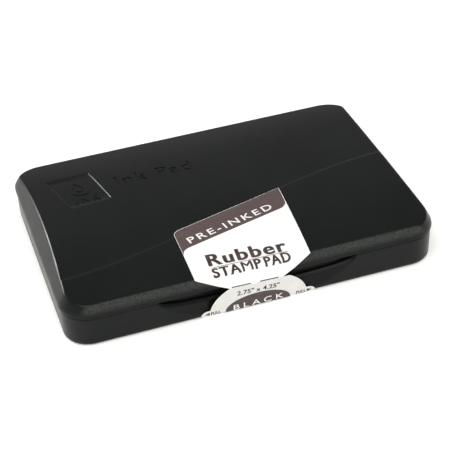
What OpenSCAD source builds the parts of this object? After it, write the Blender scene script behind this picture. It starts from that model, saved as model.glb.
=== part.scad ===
// Ink pad: a hinged plastic case that holds a flat foam pad soaked with ink.
// The origin is on the table under the middle of the case, +X runs along the long side
// and the lid is hinged at the back, +Y. The lid is drawn closed.

/* [Case] */
// Width of the case over the lid's skirt
case_w = 130; // [126:1:136]
// Depth of the case over the lid's skirt
case_d = 93; // [92:1:96]
// Height of the closed case at the crown of the lid
case_h = 20.3; // [19.9:0.1:22]
// Radius of the case's upright corners, on the lid
case_r = 10.5; // [8:0.5:11]
// Wall thickness of the lid
lid_wall = 1.6; // [1.2:0.1:1.8]

/* [Lid] */
// Height of the joint line between the base and the lid
parting_z = 12; // [11.8:0.1:12.2]
// Height of the lid's upright skirt, under its sloped sides
skirt_h = 1.4; // [1:0.1:1.6]
// Inward lean of the lid's short sides, for each millimetre of height
side_lean = 0.53; // [0.3:0.01:0.6]
// Inward lean of the lid's front
front_lean = 0.32; // [0.2:0.01:0.5]
// Inward lean of the lid's back
back_lean = 1.6; // [1:0.1:1.7]
// Radius of the lid's gentle front-to-back arch
arch_r = 257; // [250:1:300]
// Where the crown of the arch is, behind the middle of the case
arch_y = -1.8; // [-4:0.1:4]

/* [Base] */
// Thickness of the base's floor and the gap under it
floor_z = 2.2; // [2:0.1:2.6]
// Gap at the joint line, between the base's rim and the lid
parting_gap = 0.3; // [0.2:0.05:0.4]
// Radius of the rounded edge around the bottom
bottom_r = 1.5; // [1:0.1:2]
// Half the width of the finger scoop at the joint line
scoop_half_w = 35; // [32:0.5:36]
// Depth of the finger scoop at the joint line
scoop_depth = 3.6; // [3:0.1:3.8]
// Half the width of the open notch over the scoop
notch_half_w = 34.3; // [32:0.1:34.8]
// Height of the open notch over the scoop
notch_h = 5.8; // [4:0.1:6]

/* [Pad] */
// Long side of the inking face
pad_w = 107.95; // [100:0.05:108]
// Short side of the inking face
pad_d = 69.85; // [65:0.05:70]
// Height of the inking face above the table
pad_top = 14; // [13.8:0.1:14.2]
// Where the middle of the pad is, behind the middle of the case
pad_y = 0.4; // [0:0.1:0.6]

/* [Hinge] */
// Distance of each hinge from the middle of the case
hinge_x = 44; // [40:1:45]
// How far the hinge axis is behind the middle of the case
hinge_y = 44.6; // [44.4:0.1:44.7]
// Height of the hinge axis
hinge_z = 9; // [8.6:0.1:9.2]
// Radius of the hinge pins
pin_r = 0.8; // [0.7:0.05:0.9]
// Radial running clearance of the pins in the lid
pin_clearance = 0.06; // [0.03:0.01:0.09]

/* [Label] */
// Thickness of the paper
paper_t = 0.12; // [0.1:0.01:0.15]
// Left edge of the lid's label
label_x0 = -21.5; // [-24:0.1:-18]
// Right edge of the lid's label
label_x1 = 19.8; // [17:0.1:23]
// Left end of the tear line, where the lid's label was parted from the base's label
tear_x0 = -10.2; // [-12:0.1:-8]
// Right end of the tear line
tear_x1 = 7.9; // [6:0.1:12]

/* [Hidden] */
$fn = 48;
eps = 0.01;

// Outlines: points around a rounded rectangle, as [x, y, normal x, normal y]
corner_steps = 8;
side_steps = 10;

// The base
base_inset = 0.3;
base_bottom_in = 0.5;
base_front_in = 1.4;
base_front_step = 0.1;
base_corner_r = 10.2;
rim_z = parting_z - parting_gap;
base_wall = 1.7;
pocket_d = 86.6;
pocket_r = 8.4;
pocket_y = 0.3;
foot_rim_w = 7;
foot_recess = 0.8;
foot_recess_r = 4;

// Superellipse power of the notch's rim, and the ball that makes the scoop
notch_power = 2.1;
notch_points = 24;
notch_in = 8;
notch_out = 4;
scoop_ball_y = 18;
scoop_ball_out = scoop_ball_y - scoop_depth;
scoop_ball_share = sqrt(1 - pow(scoop_ball_out / scoop_ball_y, 2));
scoop_drop = 17;

// The deck that carries the pad
deck_top = 12.9;
deck_under = 10.4;
deck_front = -42.6;
deck_back = 41.4;
deck_half_w = 62.3;
deck_r = 8;
well_w = 112;
well_d = 74;
well_floor = 8;
well_wall = 1.2;
deck_scoop_gap = 0.5;
apron_half_w = 34;
apron_t = 1.8;
apron_bottom = 5;
post_x = [-45, 0, 45];
post_y = 27;
post_r = 3.2;
peg_r = 1.45;
peg_hole_r = 1.5;
peg_l = 3.5;
peg_hole_bottom = floor_z + 0.4;

// The pad's layers, from the bottom up, and the frame that holds them
layer_gap = 0.3;
backing_t = 1.2;
reservoir_t = 2;
flange_t = 0.8;
frame_seat = 12.05;
frame_top = 13.2;
frame_w = 116;
frame_d = 78;
frame_r = 3;
frame_gap = 0.2;
foam_r = 1;
opening_r = 1.2;

// The hinges
barrel_r = 1.9;
lug_w = 8.4;
lug_side_gap = 0.3;
ear_w = 3;
ear_d = 2 * barrel_r - 0.4;
hinge_notch_bottom = hinge_z - 3.5;
hinge_notch_d = 12;
neck_d = 1.6;

// The lid's inside
seal_w = 112.6;
seal_d = 74.6;
seal_t = 1.2;
seal_bottom = 13.5;
seal_r = 3;
skirt_top = parting_z + skirt_h;

// The lid's label: corners on the top face, how far its right side leans in, and the tear line
label_skin = 0.03;
label_top_left_y = -20.4;
label_top_right_y = -10.3;
label_corner_r = 2.2;
label_corner_cut = 1;
label_lap = 0.2;
label_right_in = 1.6;
label_shoulder_z = 16.5;
tear_z0 = 10.9;
tear_z1 = 10.4;

// The base's label: where its front leans from and to, the dome, the tabs and the fold
label_front_y = -46.4;
label_front_z = 10.4;
label_foot_y = -44.9;
label_foot_z = 0.5;
label_relief = 0.4;
label_relief_half_w = 23;
base_label_x = -0.3;
dome_half_w = 17;
dome_rise = 12.7;
tab_half_w = 20;
tab_r = 2.4;
tab_h = 2.1;
under_depth = 12;
under_z = 0.35;
fold_r = 0.35;
fold_out = 0.14;

// Points of a rounded rectangle from x = -hw to hw and y = y0 to y1, anticlockwise
// from the front, the right half first, so that point i mirrors point n - 1 - i.
function half_outline(hw, y0, y1, r) = concat(
  [for (i = [0:corner_steps]) let (a = -90 + 90 * i / corner_steps)
    [hw - r + r * cos(a), y0 + r + r * sin(a), cos(a), sin(a)]],
  [for (i = [1:side_steps - 1]) [hw, y0 + r + (y1 - y0 - 2 * r) * i / side_steps, 1, 0]],
  [for (i = [0:corner_steps]) let (a = 90 * i / corner_steps)
    [hw - r + r * cos(a), y1 - r + r * sin(a), cos(a), sin(a)]]);
function outline(hw, y0, y1, r) = let (h = half_outline(hw, y0, y1, r), n = len(h))
  concat(h, [for (i = [n - 1:-1:0]) [-h[i][0], h[i][1], -h[i][2], h[i][3]]]);

// Height of the lid's top face at a place y, front to back
function lid_top(y) = case_h - (arch_r - sqrt(arch_r * arch_r - (y - arch_y) * (y - arch_y)));

// Joins rings of points, one above the other, into a closed solid with strips across its ends
module loft(rings) {
  n = len(rings[0]);
  last = (len(rings) - 1) * n;
  polyhedron(points = [for (ring = rings) for (p = ring) p], faces = concat(
    [for (k = [0:len(rings) - 2]) for (i = [0:n - 1]) let (a = k * n, j = (i + 1) % n)
      [a + i, a + n + i, a + n + j]],
    [for (k = [0:len(rings) - 2]) for (i = [0:n - 1]) let (a = k * n, j = (i + 1) % n)
      [a + i, a + n + j, a + j]],
    [for (i = [0:n / 2 - 2]) [i, i + 1, n - 2 - i]],
    [for (i = [0:n / 2 - 2]) [i, n - 2 - i, n - 1 - i]],
    [for (i = [0:n / 2 - 2]) [last + i, last + n - 2 - i, last + i + 1]],
    [for (i = [0:n / 2 - 2]) [last + i, last + n - 1 - i, last + n - 2 - i]]));
}

// The lid's outer form, or a smaller one inside it: in from its skirt, down from its top face
module lid_form(in, down, bottom) {
  shape = outline(case_w / 2 - in, -case_d / 2 + in, case_d / 2 - in, case_r - in);
  shoulder = skirt_top - down / 3;
  loft([
    [for (p = shape) [p[0], p[1], bottom]],
    [for (p = shape) [p[0], p[1], shoulder]],
    [for (p = shape)
      let (rise = lid_top(p[1]) - down - shoulder,
           lean_y = p[3] < 0 ? front_lean : back_lean,
           y = p[1] - p[3] * lean_y * rise)
      [p[0] - p[2] * side_lean * rise, y, lid_top(y) - down]]]);
}

// The base's outer form, with its rounded bottom edge
module base_form() {
  function ring(in, front_in, r, z) = [for (p = outline(case_w / 2 - in, -case_d / 2 + front_in,
    case_d / 2 - in - base_inset, r)) [p[0], p[1], z]];
  low_r = base_corner_r - 1;
  loft(concat(
    [for (a = [90:-30:0]) let (round_in = bottom_r * (1 - cos(a)))
      ring(base_bottom_in + round_in, base_front_in + base_inset + round_in, low_r - round_in,
        bottom_r * (1 - sin(a)))],
    [ring(base_inset, base_inset + base_front_step, base_corner_r, rim_z)]));
}

// A rectangle with true round corners
module rounded_rect(w, d, r) {
  square([w, d - 2 * r], center = true);
  square([w - 2 * r, d], center = true);
  for (sx = [-1, 1]) for (sy = [-1, 1])
    translate([sx * (w / 2 - r), sy * (d / 2 - r)]) circle(r);
}

module rounded_block(w, d, r, z0, z1, y = 0)
  translate([0, y, z0]) linear_extrude(z1 - z0) rounded_rect(w, d, r);

module x_cylinder(r, l) rotate([0, 90, 0]) cylinder(h = l, r = r, center = true);

module at_hinge(side) translate([side * hinge_x, hinge_y, hinge_z]) children();

// The bowl that the fingertip lies in, cut out of the base's front
module finger_scoop() {
  translate([0, -case_d / 2 + base_inset + base_front_step - scoop_ball_out, parting_z])
    scale([scoop_half_w / scoop_ball_share, scoop_ball_y, scoop_drop / scoop_ball_share])
      sphere(r = 1, $fn = 64);
}

// The opening above the scoop's rim, through the base's front wall
module finger_notch() {
  function edge(x) = parting_z - notch_h
    * pow(1 - pow(abs(x) / notch_half_w, notch_power), 1 / notch_power);
  translate([0, -case_d / 2 + notch_in, 0]) rotate([90, 0, 0]) linear_extrude(notch_in + notch_out)
    polygon(concat([[notch_half_w, parting_z + 2], [-notch_half_w, parting_z + 2]],
      [for (i = [0:notch_points]) let (x = notch_half_w * (2 * i / notch_points - 1)) [x, edge(x)]]));
}

// The scoop's wall seen from above: an upright cylinder with the same rise
module scoop_cylinder(gap, z0, z1) {
  r = (scoop_half_w * scoop_half_w + scoop_depth * scoop_depth) / (2 * scoop_depth);
  translate([0, -case_d / 2 + base_inset + scoop_depth - r, z0])
    cylinder(h = z1 - z0, r = r + gap, $fn = 2 * $fn);
}

module base_shell() color("#2c2e2c") difference() {
  union() {
    difference() {
      base_form();
      difference() {
        rounded_block(case_w - 2 * (base_inset + base_wall), pocket_d, pocket_r, floor_z, case_h,
          pocket_y);
        scoop_cylinder(base_wall, floor_z - 1, case_h);
      }
      foot_recess_block();
    }
    for (x = post_x) for (sy = [-1, 1]) translate([x, pad_y + sy * post_y, floor_z - eps])
      cylinder(h = well_floor - well_wall - floor_z + eps, r = post_r);
    for (side = [-1, 1]) hinge_ears(side);
  }
  finger_scoop();
  finger_notch();
  for (side = [-1, 1]) at_hinge(side) {
    translate([-lug_w / 2 - lug_side_gap, -hinge_notch_d / 2, hinge_notch_bottom - hinge_z])
      cube([lug_w + 2 * lug_side_gap, hinge_notch_d, case_h]);
    x_cylinder(pin_r, lug_w + 2 * ear_w + 1);
  }
  for (x = post_x) for (sy = [-1, 1]) translate([x, pad_y + sy * post_y, peg_hole_bottom])
    cylinder(h = well_floor, r = peg_hole_r);
  translate([-label_relief_half_w, -case_d / 2 - 1, -1])
    cube([2 * label_relief_half_w, under_depth + 4, 1 + label_relief]);
}

// The shallow recess under the base, inside its standing rim
module foot_recess_block()
  rounded_block(case_w - 2 * foot_rim_w, case_d - 2 * foot_rim_w, foot_recess_r, -1, foot_recess);

// The two ears of the base on each side of a lug, which hold the pin
module hinge_ears(side) at_hinge(side) for (end = [-1, 1])
  translate([end * (lug_w / 2 + lug_side_gap + ear_w / 2), 0, 0]) {
    translate([-ear_w / 2, -barrel_r, floor_z - hinge_z - eps])
      cube([ear_w, barrel_r + 1, hinge_z - floor_z]);
    x_cylinder(barrel_r, ear_w);
    translate([-ear_w / 2, -barrel_r, -1]) cube([ear_w, ear_d, rim_z - hinge_z + 1]);
  }

// The deck's front wall, which closes the view through the open notch
module deck_apron() intersection() {
  scoop_cylinder(base_wall + deck_scoop_gap + apron_t, apron_bottom, deck_under + eps);
  translate([-apron_half_w, deck_front, apron_bottom])
    cube([2 * apron_half_w, 2 * scoop_depth, deck_under + eps - apron_bottom]);
}

module pad_deck() color("#343634") difference() {
  union() {
    translate([0, (deck_front + deck_back) / 2, deck_under]) linear_extrude(deck_top - deck_under)
      rounded_rect(2 * deck_half_w, deck_back - deck_front, deck_r);
    rounded_block(well_w + 2 * well_wall, well_d + 2 * well_wall, 2, well_floor - well_wall,
      deck_under + eps, pad_y);
    for (x = post_x) for (sy = [-1, 1])
      translate([x, pad_y + sy * post_y, well_floor - well_wall - peg_l])
        cylinder(h = peg_l + eps, r = peg_r);
    deck_apron();
  }
  rounded_block(well_w, well_d, 1, well_floor, case_h, pad_y);
  rounded_block(frame_w + 2 * frame_gap, frame_d + 2 * frame_gap, frame_r + frame_gap, frame_seat,
    case_h, pad_y);
  scoop_cylinder(base_wall + deck_scoop_gap, floor_z, case_h);
}

module pad_backing() color("#8f8676")
  rounded_block(well_w - 2 * layer_gap, well_d - 2 * layer_gap, foam_r, well_floor,
    well_floor + backing_t, pad_y);

module ink_reservoir() color("#202024")
  rounded_block(well_w - 4 * layer_gap, well_d - 4 * layer_gap, foam_r, well_floor + backing_t,
    well_floor + backing_t + reservoir_t, pad_y);

// The foam that stamps touch: a wide flange under the frame and a raised inking face
module foam_pad() color("#141416") {
  flange_z = well_floor + backing_t + reservoir_t;
  union() {
    rounded_block(well_w - 4 * layer_gap, well_d - 4 * layer_gap, foam_r, flange_z,
      flange_z + flange_t, pad_y);
    rounded_block(pad_w - 2 * layer_gap, pad_d - 2 * layer_gap, foam_r, flange_z + flange_t - eps,
      pad_top, pad_y);
  }
}

module pad_frame() color("#2f312f") difference() {
  rounded_block(frame_w, frame_d, frame_r, frame_seat, frame_top, pad_y);
  rounded_block(pad_w, pad_d, opening_r, frame_seat - 1, frame_top + 1, pad_y);
}

module hinge_pin(side) color("silver") at_hinge(side) x_cylinder(pin_r, lug_w + 2 * ear_w);
module hinge_pin_left() hinge_pin(-1);
module hinge_pin_right() hinge_pin(1);

// One lug of the lid: a barrel around the pin and a neck up into the back of the skirt
module lid_lug(side) at_hinge(side) {
  x_cylinder(barrel_r, lug_w);
  translate([-lug_w / 2, -neck_d, 0])
    cube([lug_w, case_d / 2 - hinge_y + neck_d, parting_z + 1 - hinge_z]);
}

module lid_shell() color("#2a2c2a") difference() {
  union() {
    difference() {
      lid_form(0, 0, parting_z);
      lid_form(lid_wall, lid_wall, parting_z - 1);
    }
    intersection() {
      difference() {
        rounded_block(seal_w, seal_d, seal_r, seal_bottom, case_h, pad_y);
        rounded_block(seal_w - 2 * seal_t, seal_d - 2 * seal_t, seal_r - seal_t, seal_bottom - 1,
          case_h + 1, pad_y);
      }
      lid_form(lid_wall / 2, lid_wall / 2, parting_z);
    }
    for (side = [-1, 1]) lid_lug(side);
  }
  for (side = [-1, 1]) at_hinge(side) x_cylinder(pin_r + pin_clearance, lug_w + 1);
}

// Front view of the lid's label: it narrows from the top edge down to the tear line
module label_front(low, high) intersection() {
  polygon([[label_x0, label_shoulder_z + 1], [label_x0, label_shoulder_z], [tear_x0, tear_z0],
    [tear_x1, tear_z1], [label_x1 - label_right_in, label_shoulder_z],
    [label_x1 - label_right_in, label_shoulder_z + 1]]);
  translate([label_x0, low]) square([label_x1 - label_x0, high - low]);
}

// The lid's label: one sheet over the front half of the top face, down the front and the skirt,
// that hangs free over the open notch as far as the tear line
module lid_label() color("white") union() {
  edge_y = -case_d / 2 + front_lean * (label_shoulder_z - skirt_top);
  intersection() {
    difference() {
      lid_form(-label_skin - paper_t, -label_skin - paper_t, parting_z);
      lid_form(-label_skin, -label_skin, parting_z - 1);
    }
    union() {
      translate([0, 0, label_shoulder_z - label_lap]) linear_extrude(case_h - label_shoulder_z + 1)
        polygon([[label_x0, -case_d / 2], [label_x1 - label_right_in, -case_d / 2],
          [label_x1 - label_right_in, edge_y], [label_x1, label_top_right_y - label_corner_cut],
          [label_x1 - label_corner_cut, label_top_right_y],
          [label_x0 + label_corner_r, label_top_left_y],
          [label_x0, label_top_left_y - label_corner_r]]);
      translate([0, -case_d / 2 + 2, 0]) rotate([90, 0, 0]) linear_extrude(4)
        label_front(parting_z, label_shoulder_z);
    }
  }
  translate([0, -case_d / 2 - label_skin, 0]) rotate([90, 0, 0]) linear_extrude(paper_t)
    label_front(tear_z1 - 1, parting_z + skirt_h / 2);
}

// The base's label: a dome with two pull tabs, stretched over the scoop and folded underneath
module base_label() color("#ecebe6") translate([base_label_x, label_foot_y, 0]) {
  run = label_foot_y - label_front_y;
  rise = label_front_z - label_foot_z;
  half_w = tab_half_w - tab_r / 2;
  translate([0, 0, label_foot_z]) rotate([90 + atan(run / rise), 0, 0]) linear_extrude(paper_t)
    label_dome(norm([run, rise]));
  translate([0, fold_r, under_z - paper_t]) linear_extrude(paper_t) label_dome(under_depth);
  translate([-half_w, -fold_out, under_z - paper_t]) cube([2 * half_w, fold_r + label_lap, paper_t]);
  translate([-half_w, -fold_out, under_z - paper_t]) cube([2 * half_w, paper_t, fold_r]);
}

// Outline of the dome: half an ellipse that is cut off flat, and a round tab on each side
module label_dome(top) {
  intersection() {
    scale([1, dome_rise / dome_half_w]) circle(dome_half_w, $fn = 72);
    translate([-dome_half_w, 0]) square([2 * dome_half_w, top]);
  }
  for (end = [-1, 1]) translate([end * (tab_half_w - tab_r), 0]) intersection() {
    scale([1, tab_h / tab_r]) circle(tab_r, $fn = 32);
    translate([-tab_r, 0]) square([2 * tab_r, tab_h]);
  }
  translate([-tab_half_w + tab_r, 0]) square([2 * (tab_half_w - tab_r), tab_h - label_lap]);
}

base_shell();
pad_deck();
pad_backing();
ink_reservoir();
foam_pad();
pad_frame();
hinge_pin_left();
hinge_pin_right();
base_label();
lid_shell();
lid_label();
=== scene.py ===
"""A closed ink pad: a hinged black plastic case with a paper seal label over the finger scoop.

Shapes are worked out in millimetres, and turned to metres when a mesh is made.
"""

import math

import bmesh
import bpy
import numpy as np
from mathutils import Matrix, Vector


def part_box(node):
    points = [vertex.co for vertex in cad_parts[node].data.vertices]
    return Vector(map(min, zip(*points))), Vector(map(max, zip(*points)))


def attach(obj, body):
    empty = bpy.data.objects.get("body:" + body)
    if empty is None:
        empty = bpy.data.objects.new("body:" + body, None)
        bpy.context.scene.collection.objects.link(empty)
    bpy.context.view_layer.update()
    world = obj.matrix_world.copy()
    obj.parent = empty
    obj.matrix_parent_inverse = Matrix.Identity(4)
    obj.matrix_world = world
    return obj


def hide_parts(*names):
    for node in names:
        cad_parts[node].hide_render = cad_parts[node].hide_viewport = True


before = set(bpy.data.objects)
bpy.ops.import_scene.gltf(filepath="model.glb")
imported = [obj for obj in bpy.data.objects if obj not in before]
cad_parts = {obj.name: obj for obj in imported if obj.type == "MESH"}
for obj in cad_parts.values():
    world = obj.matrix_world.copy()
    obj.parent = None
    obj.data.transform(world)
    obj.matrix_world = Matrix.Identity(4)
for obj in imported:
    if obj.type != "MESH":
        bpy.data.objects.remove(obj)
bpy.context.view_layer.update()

MM = 0.001


def box_mm(node):
    """Lowest and highest corner of a CAD node, in millimetres."""
    lo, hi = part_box(node)
    return np.array(lo) / MM, np.array(hi) / MM


# ---- sizes
lid_lo, lid_hi = box_mm("lid_shell")
RIM_Z = box_mm("base_shell")[1][2]
deck_hi = box_mm("pad_deck")[1]
frame_lo, frame_hi = box_mm("pad_frame")
foam_lo, foam_hi = box_mm("foam_pad")
felt_lo, felt_hi = box_mm("ink_reservoir")
board_lo, board_hi = box_mm("pad_backing")
pin_lo, pin_hi = box_mm("hinge_pin_right")

HALF_W = lid_hi[0]
FRONT_Y = lid_lo[1]
BACK_Y = lid_hi[1]
CASE_H = lid_hi[2]
CASE_R = 10.5
PARTING_Z = RIM_Z + 0.3
SKIRT_TOP = PARTING_Z + 1.4
LID_WALL = 1.6

# How far the lid's sides lean in for each millimetre that they rise
SIDE_LEAN = 0.53
FRONT_LEAN = 0.32
BACK_LEAN = 1.6

# The arch of the lid's top face, and the crease that crosses it
ARCH_R = 257.0
ARCH_Y = -1.8
CREASE_MID_Y = -17.6
CREASE_SWING = 14.7
CREASE_WAVE = 140.0
CREASE_REACH = 61.5
CREASE_DROP = 0.3
CREASE_RUN = 1.7
CREASE_FADE = 42.0

# The base
BASE_INSET = 0.3
BASE_WALL = 1.7
BOTTOM_R = 1.5
FLOOR_Z = 2.2
SCOOP_HALF_W = 35.0
SCOOP_DEPTH = 3.6
SCOOP_BALL_Y = 18.0
SCOOP_DROP = 17.0
NOTCH_HALF_W = 34.3
NOTCH_H = 5.8
NOTCH_POWER = 2.1
UNDER_LABEL_X = 23.0
UNDER_LABEL_Z = 0.4
UNDER_Z = 0.8

# The hinges
HINGE_X = (pin_lo[0] + pin_hi[0]) / 2
HINGE_Y = (pin_lo[1] + pin_hi[1]) / 2
HINGE_Z = (pin_lo[2] + pin_hi[2]) / 2
PIN_R = (pin_hi[2] - pin_lo[2]) / 2
BARREL_R = BACK_Y - HINGE_Y
LUG_W = 8.4
LUG_GAP = 0.3
EAR_W = 3.0

# The pad's middle, its well in the deck, its face, and the deck's front edge
PAD_Y = (frame_lo[1] + frame_hi[1]) / 2
WELL_HALF_W, WELL_HALF_D = 56.0, 37.0
FACE_HALF_W, FACE_HALF_D = 53.975, 34.925
DECK_FRONT = -42.6
DECK_GAP = 0.5

# The label: paper, print, and the line where its two parts were torn from each other
PAPER_T = 0.1
PAPER_SKIN = 0.025
PRINT_T = 0.02
TEAR_L, TEAR_R = (-10.2, 10.9), (7.9, 10.4)


# ---- meshes
def smooth_faces(bm, sharp):
    """Makes the faces smooth, except at edges sharper than the angle."""
    for face in bm.faces:
        face.smooth = True
    for edge in bm.edges:
        edge.smooth = len(edge.link_faces) == 2 and edge.calc_face_angle(0) < math.radians(sharp)


def add_object(name, data):
    """A new object in the scene."""
    obj = bpy.data.objects.new(name, data)
    bpy.context.scene.collection.objects.link(obj)
    return obj


def make_object(name, bm, sharp=32.0):
    """A new object from a bmesh in millimetres, smooth except at edges sharper than the angle."""
    bmesh.ops.recalc_face_normals(bm, faces=bm.faces)
    smooth_faces(bm, sharp)
    bmesh.ops.scale(bm, vec=(MM, MM, MM), verts=bm.verts)
    mesh = bpy.data.meshes.new(name)
    bm.to_mesh(mesh)
    bm.free()
    return add_object(name, mesh)


def bmesh_of(points, faces):
    """A bmesh with these points, in millimetres, and faces."""
    bm = bmesh.new()
    verts = [bm.verts.new(p) for p in points]
    for face in faces:
        bm.faces.new([verts[i] for i in face])
    return bm


def apply_modifiers(obj):
    """Puts the result of the object's modifiers into its own mesh."""
    graph = bpy.context.evaluated_depsgraph_get()
    result = bpy.data.meshes.new_from_object(obj.evaluated_get(graph))
    obj.modifiers.clear()
    obj.data = result
    return obj


def combine(obj, cutter, operation):
    """One exact boolean step on obj, which uses the cutter up."""
    step = obj.modifiers.new(operation.lower(), "BOOLEAN")
    step.operation = operation
    step.solver = "EXACT"
    step.object = cutter
    apply_modifiers(obj)
    bpy.data.objects.remove(cutter)
    return obj


def resharpen(obj, sharp=32.0):
    """Marks the sharp edges again, after a boolean step."""
    bm = bmesh.new()
    bm.from_mesh(obj.data)
    bmesh.ops.remove_doubles(bm, verts=bm.verts, dist=1e-7)
    bmesh.ops.dissolve_degenerate(bm, dist=1e-7, edges=bm.edges)
    smooth_faces(bm, sharp)
    bm.to_mesh(obj.data)
    bm.free()
    return obj


def smooth_step(t):
    """0 below 0, 1 above 1, and a soft rise in between."""
    t = np.clip(t, 0, 1)
    return t * t * (3 - 2 * t)


class Plan:
    """How a rounded rectangle is divided: columns from left to right, and rows from front to back."""

    def __init__(self, columns, middle_rows, corner_steps=10):
        self.t = np.array(columns, float)
        self.middle_rows = middle_rows
        self.corner = np.radians(np.linspace(-90, 0, corner_steps + 1))
        self.corner_steps = corner_steps

    def side(self, sign, half_w, y0, y1, r):
        """x, y and outward normal at every row of the right (1) or left (-1) edge."""
        mid = self.middle_rows(np.array([float(sign)]), y0 + r, y1 - r)[:, 0]
        front, back = self.corner, self.corner + math.pi / 2
        x = np.concatenate([half_w - r + r * np.cos(front), np.full(len(mid), half_w),
                            half_w - r + r * np.cos(back)])
        y = np.concatenate([y0 + r + r * np.sin(front), mid, y1 - r + r * np.sin(back)])
        nx = np.concatenate([np.cos(front), np.ones(len(mid)), np.cos(back)])
        ny = np.concatenate([np.sin(front), np.zeros(len(mid)), np.sin(back)])
        return np.stack([sign * x, y, sign * nx, ny], 1)

    def ring(self, half_w, y0, y1, r):
        """The outline anticlockwise from the front left, as rows of x, y and outward normal."""
        left = self.side(-1, half_w, y0, y1, r)
        right = self.side(1, half_w, y0, y1, r)
        x = self.t * (half_w - r)
        none = np.zeros_like(x)
        front = np.stack([x, none + y0, none, none - 1], 1)
        back = np.stack([x[::-1], none + y1, none, none + 1], 1)
        return np.concatenate([front, right[1:], back[1:], left[::-1][1:-1]])

    def split(self, ring):
        """The left and right edges of a ring of points, row by row."""
        n = len(self.t)
        rows = (len(ring) - 2 * n) // 2 + 2
        right = np.concatenate([ring[n - 1:n], ring[n:n + rows - 1]])
        end = 2 * n + rows - 2
        left = np.concatenate([ring[:1], ring[end:][::-1], ring[end - 1:end]])
        return left, right

    def grid(self, ring, height):
        """Points that fill a ring, with heights from height(x, y), row by row."""
        left, right = self.split(ring)
        share = (self.t + 1) / 2
        x = left[:, :1] + (right[:, :1] - left[:, :1]) * share
        y = left[:, 1:2] + (right[:, 1:2] - left[:, 1:2]) * share
        c = self.corner_steps
        y[c + 1:-c - 1] = self.middle_rows(self.t, left[c, 1], left[-c - 1, 1])
        points = np.stack([x, y, height(x, y)], 2)
        for index, (row, column) in enumerate(self.rim(len(left))):
            points[row, column] = ring[index]
        return points

    def rim(self, rows):
        """Row and column of the grid point that each ring point is."""
        n = len(self.t)
        return ([(0, i) for i in range(n)] + [(j, n - 1) for j in range(1, rows)]
                + [(rows - 1, i) for i in range(n - 2, -1, -1)] + [(j, 0) for j in range(rows - 2, 0, -1)])

    def solid(self, rings, top, bottom):
        """A closed bmesh: the first ring filled at heights top(x, y), all rings, and the last one filled."""
        first, last = self.grid(rings[0], top), self.grid(rings[-1], bottom)
        rows, n = first.shape[:2]
        rim = [row * n + column for row, column in self.rim(rows)]
        points = [tuple(p) for p in first.reshape(-1, 3)]
        faces = [(a, a + 1, a + n + 1, a + n) for j in range(rows - 1) for a in range(j * n, j * n + n - 1)]
        above = rim
        for ring in rings[1:-1]:
            below = list(range(len(points), len(points) + len(ring)))
            points += [tuple(p) for p in ring]
            faces += strip(above, below)
            above = below
        start = len(points)
        points += [tuple(p) for p in last.reshape(-1, 3)]
        faces += [(a, a + n, a + n + 1, a + 1) for j in range(rows - 1)
                  for a in range(start + j * n, start + j * n + n - 1)]
        faces += strip(above, [start + i for i in rim])
        return bmesh_of(points, faces)

    def hoop(self, rings):
        """A closed bmesh from rings that come back to the first one, such as a frame."""
        count = len(rings[0])
        points = [tuple(p) for ring in rings for p in ring]
        faces = []
        for k in range(len(rings)):
            above = range(k * count, (k + 1) * count)
            start = (k + 1) % len(rings) * count
            faces += strip(list(above), list(range(start, start + count)))
        return bmesh_of(points, faces)


def strip(above, below):
    """Faces between two rings of the same length."""
    n = len(above)
    return [(below[i], below[(i + 1) % n], above[(i + 1) % n], above[i]) for i in range(n)]


def even_rows(count):
    """Rows spread evenly over the straight part of the sides."""
    def rows(t, ya, yb):
        share = np.linspace(0, 1, count + 2)[1:-1, None]
        return ya + (yb - ya) * share + 0 * t[None, :]
    return rows


def even_plan(columns, rows, corner_steps):
    """A plan with evenly spread columns and rows."""
    return Plan(np.linspace(-1, 1, columns), even_rows(rows), corner_steps)


def level(ring, z):
    """Ring points at one height."""
    return np.stack([ring[:, 0], ring[:, 1], np.zeros(len(ring)) + z], 1)


def around_pad(plan, half_w, half_d, out, r, z):
    """A ring round the pad's middle, this far outside a rectangle, at one height."""
    return level(plan.ring(half_w + out, PAD_Y - half_d - out, PAD_Y + half_d + out, r), z)


def rounding(a, corner, b, steps=4):
    """Rings or points that turn from a to b round the corner, both ends included."""
    return [a * (1 - t) ** 2 + corner * 2 * t * (1 - t) + b * t ** 2 for t in np.linspace(0, 1, steps + 1)]


def flat(z):
    """The same height everywhere."""
    return lambda x, y: 0 * x + z


# ---- materials
class Graph:
    """A node tree that is built up from its outputs."""

    def __init__(self, tree):
        self.tree = tree
        tree.nodes.clear()

    def feed(self, socket, value):
        """Puts a node's output, a number or a colour into a socket."""
        if isinstance(value, bpy.types.NodeSocket):
            self.tree.links.new(value, socket)
        else:
            socket.default_value = (*value, 1.0) if isinstance(value, tuple) else value

    def node(self, kind, output, sockets, **settings):
        """An output of a new node whose sockets are fed with these values."""
        node = self.tree.nodes.new("ShaderNode" + kind)
        for key, value in settings.items():
            setattr(node, key, value)
        for key, value in sockets.items():
            self.feed(node.inputs[key], value)
        return node.outputs[output] if output is not None else node

    def ramp(self, value, stops):
        """Colours along value: a list of position and colour."""
        ramp = self.node("ValToRGB", None, {"Fac": value})
        elements = ramp.color_ramp.elements
        while len(elements) < len(stops):
            elements.new(0.5)
        for element, (position, colour) in zip(elements, stops):
            element.position = position
            element.color = (*colour, 1.0)
        return ramp.outputs["Color"]


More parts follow.
